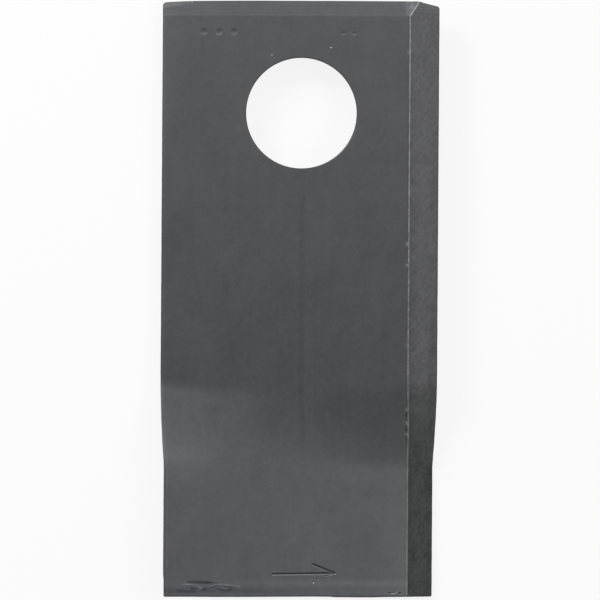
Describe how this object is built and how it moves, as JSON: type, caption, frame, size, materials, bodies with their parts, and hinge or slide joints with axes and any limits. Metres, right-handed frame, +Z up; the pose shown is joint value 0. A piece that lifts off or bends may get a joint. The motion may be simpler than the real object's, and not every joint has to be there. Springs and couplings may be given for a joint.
{
  "type": "rotary mower blade",
  "caption": "Flat steel mower blade with a round bolt hole at one end, a bevel along each long edge on opposite faces and a twisted tip that lifts the crop.",
  "frame": {"origin": "on the ground the blade lies on, under the middle of its bounding box, which is 33 mm from the bolt hole's centre", "axes": "+Y along the blade towards its hole end, +X towards the edge whose bevel is on the stamped upper face, +Z up from the ground; the clamped part is turned 6.3 degrees about +Y, its +X side up, because the twisted tip holds it there"},
  "size_m": [0.0494, 0.106, 0.0083],
  "materials": {
    "steel": "satin"
  },
  "bodies": {
    "root": {"blade": "steel"}
  },
  "joints": []
}
